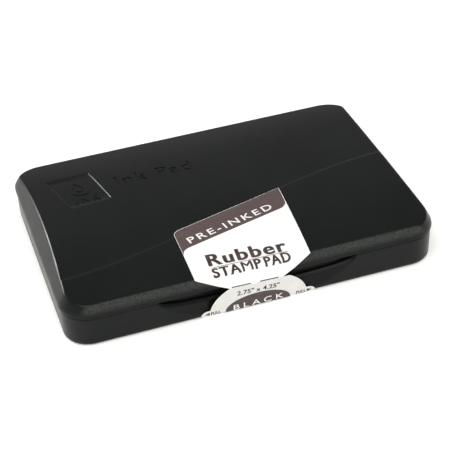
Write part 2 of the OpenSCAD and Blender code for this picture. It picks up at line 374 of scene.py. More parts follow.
class Material(Graph):
    """A procedural material on a Principled shader."""

    def __init__(self, name):
        self.material = bpy.data.materials.new(name)
        self.material.use_nodes = True
        super().__init__(self.material.node_tree)
        self.shader = self.node("BsdfPrincipled", None, {})
        self.node("OutputMaterial", None, {"Surface": self.shader.outputs["BSDF"]})
        self.place = self.node("TexCoord", "Object", {})

    def set(self, **values):
        """Numbers, colours or outputs for the shader's own sockets."""
        for key, value in values.items():
            self.feed(self.shader.inputs[key.replace("_", " ")], value)

    def axis(self, name):
        """One coordinate of the point on the object, in metres."""
        return self.node("SeparateXYZ", name, {0: self.place})

    def texture(self, kind, output, size_mm, stretch=(1, 1, 1), **sockets):
        """A texture whose pattern is about this many millimetres across."""
        scale = [s / (size_mm * MM) for s in stretch]
        place = self.node("Mapping", "Vector", {"Vector": self.place, "Scale": scale})
        return self.node(kind, output, {"Vector": place, "Scale": 1.0, **sockets})

    def noise(self, size_mm, detail=3.0, stretch=(1, 1, 1)):
        return self.texture("TexNoise", "Fac", size_mm, stretch, Detail=detail)

    def cells(self, size_mm):
        return self.texture("TexVoronoi", "Distance", size_mm)

    def spread(self, value, low, high, out_low, out_high):
        """value between low and high becomes out_low to out_high."""
        limits = {"From Min": low, "From Max": high, "To Min": out_low, "To Max": out_high}
        return self.node("MapRange", "Result", {"Value": value, **limits})

    def sum(self, a, b, share_b=1.0):
        """a + b * share_b."""
        return self.node("Math", 0, {0: b, 1: share_b, 2: a}, operation="MULTIPLY_ADD")

    def times(self, a, b):
        return self.node("Math", 0, {0: a, 1: b}, operation="MULTIPLY")

    def mix(self, share, a, b):
        """Colour a where share is 0, and b where it is 1."""
        return self.node("Mix", 2, {0: share, 6: a, 7: b}, data_type="RGBA")

    def bump(self, height, depth_mm, share=1.0, **under):
        """A bump of this depth for heights of 0 to 1, where share is above 0, on top of another Normal."""
        sockets = {"Height": height, "Distance": depth_mm * MM, "Strength": share, **under}
        return self.node("Bump", "Normal", sockets)


def srgb(red, green, blue):
    """A colour from its 0 to 255 display values."""
    def linear(c):
        c /= 255
        return c / 12.92 if c <= 0.04045 else ((c + 0.055) / 1.055) ** 2.4
    return (linear(red), linear(green), linear(blue))


def plastic(name, dark, light, rough_low, rough_high, grain_mm, grain_depth, bevel_depth=0.0):
    """Moulded black plastic: spark-eroded grain, faint flow clouds and uneven gloss.

    With a bevel_depth the front bevel of the lid has a coarser grain, as the mould has there, and a lighter
    speckled colour that is a painted highlight for glints on that grain.
    """
    m = Material(name)
    colour = m.ramp(m.noise(26, 4), [(0.3, dark), (0.7, light)])
    gloss = m.sum(m.noise(9, 5), m.noise(0.5, 2), 0.35)
    grain = m.sum(m.noise(grain_mm, 2.0), m.cells(grain_mm * 1.6), 0.5)
    surface = m.bump(grain, grain_depth, Normal=m.bump(m.noise(14, 1.0), 0.02))
    if bevel_depth:
        ahead = m.spread(m.axis("Y"), (FRONT_Y + 1.8) * MM, (FRONT_Y + 1.0) * MM, 0, 1)
        above = m.spread(m.axis("Z"), (SKIRT_TOP - 0.3) * MM, (SKIRT_TOP + 1.5) * MM, 0, 1)
        coarse = m.sum(m.noise(0.5, 1.5), m.noise(0.3, 1.0), 0.8)
        share = m.times(ahead, above)
        surface = m.bump(coarse, bevel_depth, share, Normal=surface)
        # Painted highlight: the bevel's colour is a lighter speckle that stands in for glints of light on its
        # grain.
        colour = m.mix(share, colour, m.ramp(coarse, [(0.6, srgb(28, 30, 28)), (1.05, srgb(60, 62, 59))]))
    m.set(Base_Color=colour, Roughness=m.spread(gloss, 0.45, 0.9, rough_low, rough_high), Normal=surface)
    m.set(IOR=1.46, Specular_IOR_Level=0.15)
    return m.material


def paper(name, low, high):
    """Coated label paper with faint fibres and a soft sheen."""
    m = Material(name)
    fibres = m.sum(m.noise(0.35, 4, (1, 0.25, 1)), m.noise(4, 3), 0.6)
    m.set(Base_Color=m.ramp(fibres, [(0.45, low), (1.0, high)]), Normal=m.bump(fibres, 0.006))
    m.set(Roughness=m.spread(m.noise(2.5, 3), 0.3, 0.7, 0.42, 0.55), IOR=1.45)
    return m.material


def ink_print(name, low, high):
    """Printed ink on paper: uneven cover in fine dots."""
    m = Material(name)
    cover = m.sum(m.noise(0.3, 3), m.cells(0.25), 0.3)
    m.set(Base_Color=m.ramp(cover, [(0.35, low), (0.85, high)]), Normal=m.bump(cover, 0.004))
    m.set(Roughness=m.spread(m.noise(1.2, 2), 0.3, 0.7, 0.4, 0.52))
    return m.material


def inked_foam():
    """Fine black foam, damp with ink: open pores, a soft top and wet patches."""
    m = Material("foam_inked")
    pores = m.cells(0.42)
    pits = m.bump(m.sum(pores, m.noise(0.18, 3), 0.4), 0.12)
    m.set(Base_Color=m.ramp(pores, [(0.1, srgb(8, 8, 10)), (0.6, srgb(26, 26, 30))]))
    m.set(Roughness=m.spread(m.noise(11, 4), 0.35, 0.65, 0.42, 0.72), IOR=1.38)
    m.set(Normal=m.bump(m.noise(6, 3), 0.08, Normal=pits))
    return m.material


def felt():
    """Dark felt that holds the ink."""
    m = Material("felt_dark")
    fibre = m.sum(m.noise(0.25, 6, (1, 0.2, 1)), m.noise(0.3, 6, (0.2, 1, 1)), 1.0)
    m.set(Base_Color=m.ramp(fibre, [(0.6, srgb(16, 16, 20)), (1.2, srgb(44, 44, 50))]))
    m.set(Normal=m.bump(fibre, 0.15), Roughness=0.95, Sheen_Weight=0.3)
    return m.material


def board():
    """Grey-brown backing board with pressed fibres."""
    m = Material("board_grey")
    fibre = m.sum(m.noise(0.6, 6, (1, 0.3, 1)), m.noise(3, 3), 0.5)
    m.set(Base_Color=m.ramp(fibre, [(0.5, srgb(116, 106, 90)), (1.0, srgb(158, 148, 130))]))
    m.set(Normal=m.bump(fibre, 0.05), Roughness=0.9)
    return m.material


def steel():
    """Drawn steel wire with fine lengthwise marks."""
    m = Material("steel_drawn")
    marks = m.noise(0.12, 3, (0.05, 1, 1))
    m.set(Base_Color=m.ramp(marks, [(0.3, srgb(150, 151, 154)), (0.7, srgb(196, 197, 199))]), Metallic=1.0)
    m.set(Roughness=m.spread(marks, 0.3, 0.7, 0.22, 0.4), Normal=m.bump(marks, 0.01))
    return m.material


CASE = plastic("plastic_case", srgb(17, 20, 19), srgb(22, 25, 24), 0.27, 0.37, 0.3, 0.022, 0.3)
# Partly painted light: the deck's grey is lighter than the case's, partly its own colour and partly to lift
# the shade seen through the notch under the lid.
DECK = plastic("plastic_deck", srgb(40, 42, 41), srgb(48, 50, 48), 0.4, 0.55, 0.26, 0.02)
PAPER = paper("paper_label", srgb(233, 232, 227), srgb(245, 244, 241))
# Painted shade: a darker copy of the label paper for the lower label, which faces down and lies in shade.
SHADED_PAPER = paper("paper_label_painted_shade", srgb(211, 209, 205), srgb(225, 223, 220))
MAUVE = ink_print("print_mauve", srgb(66, 53, 53), srgb(90, 75, 74))
# Painted shade: a darker copy of the mauve print for the spot on the lower label, which lies in shade.
SHADED_SPOT_PRINT = ink_print("print_mauve_painted_shade", srgb(48, 38, 38), srgb(68, 56, 55))
BROWN = ink_print("print_brown", srgb(62, 46, 48), srgb(82, 64, 66))
BLACK_PRINT = ink_print("print_black", srgb(28, 26, 28), srgb(46, 42, 44))
WHITE_PRINT = ink_print("print_white", srgb(226, 222, 216), srgb(246, 244, 240))
FOAM = inked_foam()
FELT = felt()
BOARD = board()
STEEL = steel()


def coat(obj, material):
    obj.data.materials.clear()
    obj.data.materials.append(material)


def piece(obj, body, material, slot, *replaced):
    """Gives a piece its material and its body, and hides the CAD nodes that it stands for. The slot is not
    used.
    """
    coat(obj, material)
    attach(obj, body)
    if replaced:
        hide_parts(*replaced)
    return obj


# ---- the lid
def crease_y(x):
    """Where the crease is at x: a long soft S from the front left to the right."""
    return CREASE_MID_Y + CREASE_SWING * np.sin(np.pi * np.clip(x, -CREASE_REACH, CREASE_REACH) / CREASE_WAVE)


def arch_z(y):
    return CASE_H - (ARCH_R - np.sqrt(ARCH_R ** 2 - (y - ARCH_Y) ** 2))


def crease_drop(x, y):
    """How far the top face lies under the arch behind the crease."""
    behind = y - crease_y(x)
    fade = 1 - smooth_step((behind - CREASE_RUN) / CREASE_FADE)
    return CREASE_DROP * smooth_step(behind / CREASE_RUN) * fade


def lid_z(x, y):
    return arch_z(y) - crease_drop(x, y)


FOLD_ROWS = [-2.4, -1.2, -0.4, 0.0, 0.2, 0.4, 0.6, 0.85, 1.1, 1.3, 1.5, 1.7, 2.2, 3.0]


def lid_rows(t, ya, yb):
    """Rows of the lid's top face: they follow the crease, and are close together at it."""
    crease = crease_y(t * CREASE_REACH)
    fold = [crease + offset for offset in FOLD_ROWS]
    ahead = [ya + (fold[0] - ya) * s for s in np.linspace(0, 1, 11)[1:-1]]
    behind = [fold[-1] + (yb - fold[-1]) * s for s in np.linspace(0, 1, 27)[1:-1]]
    return np.array(ahead + fold + behind)


def lid_side(ring, skirt_top, down):
    """The ring's points at the lid's top edge, for a form that lies this far under the outer one."""
    x, y, nx, ny = ring.T
    rise = lid_z(x * CREASE_REACH / HALF_W, y) - down - skirt_top
    lean_y = np.where(ny < 0, FRONT_LEAN, BACK_LEAN)
    ex = x - nx * SIDE_LEAN * rise
    ey = y - ny * lean_y * rise
    return np.stack([ex, ey, lid_z(ex, ey) - down], 1)


def lid_body():
    """The lid's shell, outside and inside, as one closed surface."""
    plan = Plan(np.linspace(-1, 1, 121), lid_rows, 12)
    shoulder_soft, lip_soft = 1.1, 0.18

    outer = plan.ring(HALF_W, FRONT_Y, BACK_Y, CASE_R)
    edge = lid_side(outer, SKIRT_TOP, 0.0)
    shoulder = level(outer, SKIRT_TOP)
    slope = shoulder - edge
    slope /= np.linalg.norm(slope, axis=1)[:, None]

    def on_top(inset):
        points = edge[:, :2] - outer[:, 2:] * inset
        return level(points, lid_z(*points.T))

    facet, soft = 0.38, 0.5
    high, low = on_top(facet), edge + slope * facet
    rings = rounding(on_top(soft), high, high + (low - high) * 0.12, 3)
    rings += [high + (low - high) * t for t in (0.22, 0.78)]
    rings += rounding(high + (low - high) * 0.88, low, edge + slope * soft, 3)
    bevel_end = shoulder - slope * shoulder_soft
    rings += [rings[-1] * (1 - t) + bevel_end * t for t in (0.33, 0.66)]
    rings += rounding(bevel_end, shoulder, level(outer, SKIRT_TOP - 0.7))
    lip = plan.ring(HALF_W - lip_soft, FRONT_Y + lip_soft, BACK_Y - lip_soft, CASE_R - lip_soft)
    rings += rounding(level(outer, PARTING_Z + lip_soft), level(outer, PARTING_Z), level(lip, PARTING_Z), 3)

    w = LID_WALL
    inner = plan.ring(HALF_W - w, FRONT_Y + w, BACK_Y - w, CASE_R - w)
    inner_shoulder = SKIRT_TOP - w / 3
    inner_edge = lid_side(inner, inner_shoulder, w)
    ceiling = inner_edge[:, :2] - inner[:, 2:] * 0.6
    ceiling = level(ceiling, lid_z(*ceiling.T) - w)
    rings += [level(inner, PARTING_Z), level(inner, inner_shoulder)]
    rings += rounding(inner_edge + (level(inner, inner_shoulder) - inner_edge) * 0.25, inner_edge, ceiling, 3)
    bm = plan.solid(rings, lid_z, lambda x, y: lid_z(x, y) - w)
    return make_object("lid_moulding", bm, 40)


def surface_cutter(name, bm, high, low):
    """Bends a flat prism (z 0 to 1) so that it runs between these heights over the lid's top face."""
    for vert in bm.verts:
        x, y, z = vert.co
        vert.co.z = lid_z(x, y) + low + (high - low) * z
    return make_object(name, bm)


def prism(outline):
    """An upright prism, z 0 to 1, over an outline of x, y points."""
    n = len(outline)
    points = [(x, y, 0) for x, y in outline] + [(x, y, 1) for x, y in outline]
    faces = [tuple(range(n - 1, -1, -1)), tuple(range(n, 2 * n))]
    faces += [(i, (i + 1) % n, n + (i + 1) % n, n + i) for i in range(n)]
    return bmesh_of(points, faces)


def everything(bm):
    return bm.verts[:] + bm.edges[:] + bm.faces[:]


def cut_rows(bm, rows):
    """Divides the faces at these y values, so that the mesh can bend there."""
    for y in rows:
        bmesh.ops.bisect_plane(bm, geom=everything(bm), plane_co=(0, y, 0), plane_no=(0, 1, 0))
    return bm


def words(text, bold, spacing, double=0.0):
    """Flat letters as a prism, z 0 to 1, with the baseline at y 0, drawn twice this far apart if double."""
    curve = bpy.data.curves.new("letters", "FONT")
    curve.body = text
    curve.offset = bold
    curve.space_character = spacing
    curve.resolution_u = 4
    curve.extrude = 0.5
    obj = add_object("letters", curve)
    graph = bpy.context.evaluated_depsgraph_get()
    graph.update()
    mesh = bpy.data.meshes.new_from_object(obj.evaluated_get(graph))
    bm = bmesh.new()
    bm.from_mesh(mesh)
    bpy.data.objects.remove(obj)
    bpy.data.curves.remove(curve)
    bpy.data.meshes.remove(mesh)
    bmesh.ops.remove_doubles(bm, verts=bm.verts, dist=1e-5)
    bmesh.ops.translate(bm, vec=(0, 0, 0.5), verts=bm.verts)
    if double:
        copy = bmesh.ops.duplicate(bm, geom=everything(bm))["geom"]
        verts = [part for part in copy if isinstance(part, bmesh.types.BMVert)]
        bmesh.ops.translate(bm, vec=(double, 0, 0), verts=verts)
    return bm


def set_type(bm, start, end, height):
    """Moves flat letters so that their baseline runs from start to end and the tallest has this height."""
    left = min(v.co.x for v in bm.verts)
    right = max(v.co.x for v in bm.verts)
    tallest = max(v.co.y for v in bm.verts)
    along = Vector((end[0] - start[0], end[1] - start[1]))
    across = Vector((-along.y, along.x)).normalized() * (height / tallest)
    for vert in bm.verts:
        share = (vert.co.x - left) / (right - left)
        place = Vector(start) + along * share + across * vert.co.y
        vert.co.x, vert.co.y = place
    return bm


# The recessed panel at the back left of the lid, its four corners from the front left anticlockwise
PANEL = [(-50.3, 6.6), (-35.9, 7.4), (-39.3, 27.2), (-54.4, 26.3)]
PANEL_DEPTH = 0.2
PANEL_SLOPE = 0.55
WORD_DEPTH = 0.26


def panel_point(across, up):
    """A point on the panel: 0 to 1 from its left to its right, and from its front to its back."""
    corners = [np.array(c) for c in PANEL]
    front = corners[0] + (corners[1] - corners[0]) * across
    back = corners[3] + (corners[2] - corners[3]) * across
    return front + (back - front) * up


def drop_outline(up, wide, tall, steps=32):
    """A teardrop with its point at the back, in panel coordinates."""
    return [panel_point(0.5 + wide * math.sin(a) * math.sin(a / 2) ** 1.4, up + tall * math.cos(a))
            for a in (2 * math.pi * k / steps for k in range(steps))]


EMBLEM_ROWS = np.arange(5.13, 29.0, 2.17)


def emboss_lid(lid):
    """Cuts the recessed panel, and the word beside it, into the lid's top face."""
    above = 0.6
    middle = panel_point(0.5, 0.5)
    half = 8.6
    panel = prism(PANEL)
    for vert in panel.verts:
        spread = (PANEL_DEPTH + above) / PANEL_SLOPE if vert.co.z > 0.5 else 0.0
        vert.co.x += (vert.co.x - middle[0]) * spread / half
        vert.co.y += (vert.co.y - middle[1]) * spread / half
    cut_rows(panel, EMBLEM_ROWS)
    combine(lid, surface_cutter("recess", panel, above, -PANEL_DEPTH), "DIFFERENCE")
    letters = set_type(words("Ink Pad", 0.0, 1.12), (-31.6, 14.0), (-3.8, 14.0), 6.0)
    combine(lid, surface_cutter("word", letters, above, -WORD_DEPTH), "DIFFERENCE")
    return resharpen(lid, 30)


def emblem_parts():
    """The raised ink drop and the word under it, which stand on the floor of the panel."""
    def raised(name, bm, high=-0.02, low=-PANEL_DEPTH - 0.2):
        return surface_cutter(name, cut_rows(bm, EMBLEM_ROWS), high, low)

    drop = raised("lid_emblem_drop", prism(drop_outline(0.6, 0.33, 0.3)))
    combine(drop, raised("hollow", prism(drop_outline(0.555, 0.21, 0.19)), 1, -1), "DIFFERENCE")
    heart = raised("lid_emblem_heart", prism(drop_outline(0.53, 0.11, 0.1)))
    word = set_type(words("INK", 0.02, 1.5), panel_point(0.2, 0.06), panel_point(0.8, 0.06), 3.4)
    return [resharpen(drop), heart, raised("lid_emblem_word", word)]


def seal_rib():
    """The rib under the lid that closes around the pad."""
    plan = even_plan(31, 20, 5)
    half_w, half_d, thick, soft, bottom = 56.3, 37.3, 1.2, 0.25, 13.5

    def ring(inset, z=None):
        """The rib's outline at a height, or inside the lid's wall."""
        points = around_pad(plan, half_w, half_d, -inset, 3 - inset, 0)
        return level(points, lid_z(*points[:, :2].T) - LID_WALL / 2 if z is None else z)

    rings = [ring(0), ring(0, bottom + soft), ring(soft, bottom)]
    rings += [ring(thick - soft, bottom), ring(thick, bottom + soft), ring(thick)]
    return make_object("lid_seal_rib", plan.hoop(rings), 50)


def disc_prism(r, x0, x1, chamfer=0.0, steps=48):
    """A cylinder along x around the hinge axis."""
    rings = [(x0, r), (x1, r)]
    if chamfer:
        rings = [(x0, r - chamfer), (x0 + chamfer, r), (x1 - chamfer, r), (x1, r - chamfer)]
    angles = [2 * math.pi * k / steps for k in range(steps)]
    points = [(x, HINGE_Y + radius * math.cos(a), HINGE_Z + radius * math.sin(a))
              for x, radius in rings for a in angles]
    rows = [list(range(j * steps, (j + 1) * steps)) for j in range(len(rings))]
    faces = [face for above, below in zip(rows, rows[1:]) for face in strip(above, below)]
    return bmesh_of(points, faces + [tuple(rows[0]), tuple(rows[-1][::-1])])


def set_heights(bm, z0, z1):
    """Stretches a prism, z 0 to 1, between two heights."""
    for vert in bm.verts:
        vert.co.z = z0 + (z1 - z0) * vert.co.z
    return bm


def block(x0, x1, y0, y1, z0, z1):
    return set_heights(prism([(x0, y0), (x1, y0), (x1, y1), (x0, y1)]), z0, z1)


def lid_lug(side):
    """One hinge lug of the lid: a barrel around the pin with a neck up to the skirt."""
    x = side * HINGE_X
    name = "lid_lug_left" if side < 0 else "lid_lug_right"
    lug = make_object(name, disc_prism(BARREL_R, x - LUG_W / 2, x + LUG_W / 2, chamfer=0.25))
    neck = block(x - LUG_W / 2, x + LUG_W / 2, HINGE_Y - 1.6, BACK_Y, HINGE_Z, PARTING_Z + 0.8)
    combine(lug, make_object("neck", neck), "UNION")
    bore = make_object("bore", disc_prism(PIN_R + 0.06, x - LUG_W, x + LUG_W))
    combine(lug, bore, "DIFFERENCE")
    return resharpen(lug)


# ---- the base
def notch_z(x):
    """Height of the rim along the open notch over the scoop."""
    inside = np.clip(1 - (np.abs(x) / NOTCH_HALF_W) ** NOTCH_POWER, 0, 1)
    return PARTING_Z - NOTCH_H * inside ** (1 / NOTCH_POWER)


def scoop_y(x, z):
    """The scoop's ball-shaped wall, or far in front of the case where there is none."""
    out = SCOOP_BALL_Y - SCOOP_DEPTH
    share = math.sqrt(1 - (out / SCOOP_BALL_Y) ** 2)
    part = 1 - (x / (SCOOP_HALF_W / share)) ** 2 - ((z - PARTING_Z) / (SCOOP_DROP / share)) ** 2
    return FRONT_Y + BASE_INSET + 0.1 - out + SCOOP_BALL_Y * np.sqrt(np.clip(part, 0, 1))


def scoop_arc_y(x, gap):
    """The upright arc behind the scoop, that the inside of the wall and the deck follow."""
    r = (SCOOP_HALF_W ** 2 + SCOOP_DEPTH ** 2) / (2 * SCOOP_DEPTH)
    return FRONT_Y + BASE_INSET + SCOOP_DEPTH - r + np.sqrt((r + gap) ** 2 - np.clip(x, -60, 60) ** 2)


def soft_max(a, b, width):
    """The larger of two values, with a soft change-over this wide."""
    h = np.clip(0.5 + 0.5 * (a - b) / width, 0, 1)
    return b * (1 - h) + a * h + width * h * (1 - h)


def scoop_columns(reach, fine=84, coarse=9):
    """Columns that are closest together at the ends of the notch."""
    u = np.linspace(0, 1, fine + 1)
    half = NOTCH_HALF_W * (0.5 * u + 0.5 * np.sin(u * math.pi / 2))
    half = np.concatenate([half, np.linspace(NOTCH_HALF_W, reach, coarse + 1)[1:]]) / reach
    return np.concatenate([-half[:0:-1], half])


def base_body():
    """The base's shell with its scoop, notch, standing rim and inside, as one closed surface."""
    reach = HALF_W - CASE_R
    plan = Plan(scoop_columns(reach), even_rows(24), 12)

    def outline(inset=0.0):
        """The case's outline where the wall meets the rounded foot."""
        return plan.ring(HALF_W - 0.5 - inset, FRONT_Y + 1.7 + inset, BACK_Y - 0.8 - inset, 9.2 - inset)

    low = outline()
    high = plan.ring(HALF_W - BASE_INSET, FRONT_Y + 0.4, BACK_Y - 0.6, 10.2)
    front = (high[:, 3] < -0.999)

    def wall(z, inset=0.0):
        """The outer wall at heights z, with the scoop pressed into its front."""
        share = (z - BOTTOM_R) / (RIM_Z - BOTTOM_R)
        points = low + (high - low) * np.reshape(share, (-1, 1))
        x = points[:, 0] - points[:, 2] * inset
        y = points[:, 1] - points[:, 3] * inset
        y = np.where(front, soft_max(scoop_y(x, z) + inset, y, 0.14), y)
        return np.stack([x, y, z + 0 * x], 1)

    rim = np.where(front, np.minimum(RIM_Z, notch_z(high[:, 0])), RIM_Z)
    # In the open notch the rim is cut to a slope that faces up and forward
    opened = smooth_step((RIM_Z - rim) / 0.7)
    rim_low = rim - 0.5 - 0.45 * opened
    rim_top = wall(rim, 0.5 + 0.2 * opened)
    corner = level(wall(rim_low), rim)
    corner += ((wall(rim_low) + rim_top) / 2 - corner) * 0.85 * opened[:, None]
    up = [wall(BOTTOM_R + (rim_low - BOTTOM_R) * t) for t in np.linspace(0, 1, 19)]
    up += rounding(wall(rim_low), corner, rim_top, 6)[1:]

    pocket = plan.ring(HALF_W - 2, -43.0, 43.6, 8.4)
    inner_y = np.where(front, np.maximum(pocket[:, 1], scoop_arc_y(pocket[:, 0], BASE_WALL)), pocket[:, 1])
    inner = np.stack([pocket[:, 0], inner_y, rim], 1)
    down = [inner + (up[-1] - inner) * 0.12, level(inner, rim - 0.2)]
    floor_edge = level(pocket, FLOOR_Z)
    floor_edge[:, 1] = inner_y
    down += [floor_edge + [0, 0, 0.8]]
    centre = np.array([0, 0.3, FLOOR_Z])
    down += [floor_edge + (centre - floor_edge) * [0.012, 0.018, 1]]
    up += down

    def bottom(inset, z):
        points = level(outline(inset), z)
        lifted = (np.abs(points[:, 0]) < UNDER_LABEL_X) & (points[:, 1] < FRONT_Y + 15)
        points[:, 2] = np.where(lifted, np.maximum(points[:, 2], UNDER_LABEL_Z), points[:, 2])
        return points

    def foot(inset, z):
        return level(plan.ring(HALF_W - inset, FRONT_Y + inset, BACK_Y - inset, 4), z)

    round_foot = [bottom(BOTTOM_R * (1 - math.cos(a)), BOTTOM_R * (1 - math.sin(a)))
                  for a in np.radians([90, 75, 60, 45, 30, 15])]
    under = [foot(7.4, UNDER_Z), foot(7.0, UNDER_LABEL_Z)] + round_foot
    rings = (under + up)[::-1]
    bm = plan.solid(rings, flat(FLOOR_Z), flat(UNDER_Z))
    return make_object("base_moulding", bm, 40)


def hinge_cuts(base):
    """Slots for the lid's lugs, and the ears that hold the pins."""
    for side in (-1, 1):
        x = side * HINGE_X
        half = LUG_W / 2 + LUG_GAP
        slot = make_object("slot", block(x - half, x + half, HINGE_Y - 4, BACK_Y + 2, HINGE_Z - 3.5, CASE_H))
        combine(base, slot, "DIFFERENCE")
        for end in (-1, 1):
            mid = x + end * (half + EAR_W / 2)
            x0, x1 = mid - EAR_W / 2, mid + EAR_W / 2
            ear = make_object("ear", disc_prism(BARREL_R - 0.02, x0, x1, chamfer=0.15))
            web = block(x0, x1, HINGE_Y - BARREL_R, HINGE_Y + 0.9, FLOOR_Z - 0.5, RIM_Z - 0.02)
            combine(base, combine(ear, make_object("web", web), "UNION"), "UNION")
        reach = LUG_W / 2 + EAR_W + 0.5
        bore = make_object("bore", disc_prism(PIN_R + 0.01, x - reach, x + reach))
        combine(base, bore, "DIFFERENCE")
    return resharpen(base, 34)


# ---- labels
class Sheet:
    """A flat sheet bent over a profile: flat x stays x, flat y runs along the profile of y, z points."""

    def __init__(self, along, points, middle=0.0, sink=None):
        self.along = np.array(along, float)
        self.points = np.array(points, float)
        self.middle = middle
        self.sink = sink
        tangent = np.gradient(self.points, self.along, axis=0)
        tangent /= np.linalg.norm(tangent, axis=1)[:, None]
        self.normal = np.stack([-tangent[:, 1], tangent[:, 0]], 1)

    def bend(self, name, bm, base, thick):
        """Lays a flat prism on the sheet, from base to base + thick above it."""
        for vert in bm.verts:
            x, v, h = vert.co
            y, z, ny, nz = (np.interp(v, self.along, column) for column in (*self.points.T, *self.normal.T))
            lift = base + h * thick
            sink = self.sink(x, y) if self.sink else 0.0
            vert.co = (x + self.middle, y + ny * lift, z + nz * lift - sink)
        return make_object(name, bm, 50)


def run_length(points):
    """Distance along a line of points, from its first one."""
    return np.concatenate([[0], np.cumsum(np.linalg.norm(np.diff(points, axis=0), axis=1))])


def front_profile():
    """The lid's middle profile, from the tear line up the front and back over the top face."""
    edge_y = FRONT_Y + FRONT_LEAN * (arch_z(FRONT_Y) - SKIRT_TOP)
    shoulder, edge, inward = (np.array(p) for p in (
        (FRONT_Y, SKIRT_TOP), (edge_y, arch_z(edge_y)), (edge_y + 0.55, arch_z(edge_y + 0.55))))
    up = (edge - shoulder) / np.linalg.norm(edge - shoulder)
    points = [np.array([FRONT_Y, z]) for z in (min(TEAR_L[1], TEAR_R[1]) - 0.2, PARTING_Z)]
    points += rounding(np.array([FRONT_Y, SKIRT_TOP - 0.7]), shoulder, shoulder + up * 1.1, 6)
    points += rounding(edge - up * 0.5, edge, inward, 6)
    points += [np.array([y, arch_z(y)]) for y in np.arange(math.ceil(inward[0]) + 0.5, -4, 0.5)]
    points = np.array(points)
    length = run_length(points)
    over_edge = np.argmin(np.abs(points[:, 0] - inward[0]))
    along = points[:, 0].copy()
    along[:over_edge] = points[over_edge, 0] - (length[over_edge] - length[:over_edge])
    return along, points


LID_ALONG, LID_POINTS = front_profile()
LABEL_L, LABEL_R_TOP, LABEL_R = -21.5, 19.9, 18.2


def label_crease(x):
    """The crease under the label, which is close to a straight line there."""
    share = (x - LABEL_L) / (LABEL_R_TOP - LABEL_L)
    return crease_y(LABEL_L) + (crease_y(LABEL_R_TOP) - crease_y(LABEL_L)) * share


def label_drop(x, y):
    """How far the label follows the crease down."""
    behind = y - label_crease(x)
    steps = [CREASE_RUN * k / 6 for k in range(7)]
    fold = np.interp(behind, steps, [CREASE_DROP * smooth_step(b / CREASE_RUN) for b in steps])
    return fold * (1 - smooth_step((behind - CREASE_RUN) / CREASE_FADE))


LID_SHEET = Sheet(LID_ALONG, LID_POINTS, sink=label_drop)
# Points of the lid's profile: one in its rounded edge, and the first ones of its top face
EDGE_POINT, TOP_POINT = 11, 17
LID_EDGE = LID_ALONG[EDGE_POINT]


def at_height(z):
    """Place along the lid's sheet where it hangs straight down, for a height."""
    return LID_ALONG[0] + z - LID_POINTS[0][1]


def round_corner(before, corner, after, r, steps=8):
    """Points of an arc-like turn at a corner of an outline."""
    a, c, b = (np.array(p, float) for p in (before, corner, after))
    start = c + (a - c) / np.linalg.norm(a - c) * r
    end = c + (b - c) / np.linalg.norm(b - c) * r
    return [tuple(p) for p in rounding(start, c, end, steps)]


LABEL_TOP_L = (LABEL_L, -20.9)
LABEL_TOP_R = (LABEL_R_TOP, -10.15)


def tear_line(left, right, seed, count=46, rough=0.05):
    """Points of a torn edge from left to right."""
    rng = np.random.default_rng(seed)
    share = np.linspace(0, 1, count)
    jitter = rng.uniform(-rough, rough, count)
    return [(left[0] + (right[0] - left[0]) * t, left[1] + (right[1] - left[1]) * t + j)
            for t, j in zip(share, jitter)]


def lid_label_outline():
    left_foot = (LABEL_L + 0.1, LID_EDGE + 0.2)
    right_foot = (LABEL_R, LID_EDGE + 0.2)
    outline = tear_line((TEAR_L[0], at_height(TEAR_L[1])), (TEAR_R[0], at_height(TEAR_R[1])), 3)
    outline += [right_foot]
    outline += round_corner(right_foot, LABEL_TOP_R, LABEL_TOP_L, 0.5, 4)
    outline += round_corner(LABEL_TOP_R, LABEL_TOP_L, left_foot, 2.4)
    return outline + [left_foot]


def band_outline():
    """The mauve band along the label's top edge, with its rounded lower ends."""
    rim = 0.14
    top_r = (LABEL_TOP_R[0] - rim, LABEL_TOP_R[1] - rim)
    outline = round_corner((LABEL_R + 0.5, -30), top_r, LABEL_TOP_L, 0.5, 4)
    outline += round_corner(LABEL_TOP_R, (LABEL_TOP_L[0] + rim, LABEL_TOP_L[1] - rim), (LABEL_L, -40), 2.3)
    low_l, low_r = (-20.9, -30.9), (18.6, -21.3)
    outline += round_corner((LABEL_L + rim, -33.4), low_l, low_r, 2.4)
    outline += round_corner(low_l, low_r, (LABEL_R_TOP - 0.5, -18.4), 2.4)
    return outline


LID_CUTS = sorted(set(np.round(np.concatenate([LID_ALONG[1:TOP_POINT], np.arange(-44, -8, 2.0)]), 4)))


def along_crease(bm):
    """Divides flat faces along the crease that runs under the label."""
    left = Vector((-20, label_crease(-20.0), 0))
    right = Vector((20, label_crease(20.0), 0))
    across = Vector((0, 0, 1)).cross(right - left).normalized()
    for k in range(7):
        point = left + Vector((0, CREASE_RUN * k / 6, 0))
        bmesh.ops.bisect_plane(bm, geom=everything(bm), plane_co=point, plane_no=across)
    return bm


def on_lid(name, bm, base, thick, material, *replaced):
    obj = LID_SHEET.bend(name, along_crease(cut_rows(bm, LID_CUTS)), base, thick)
    piece(obj, "lid", material, "label_paper", *replaced)


FOOT_Y, FOOT_Z = -44.9, 0.5
TOP_Y, TOP_Z = -46.42, 10.4
UNDER_DEPTH = 12.0
# Points of the base's profile: where it starts to turn up, and where the front begins
FOLD_POINT, FRONT_POINT = 12, 18
BASE_LABEL_X = -0.3


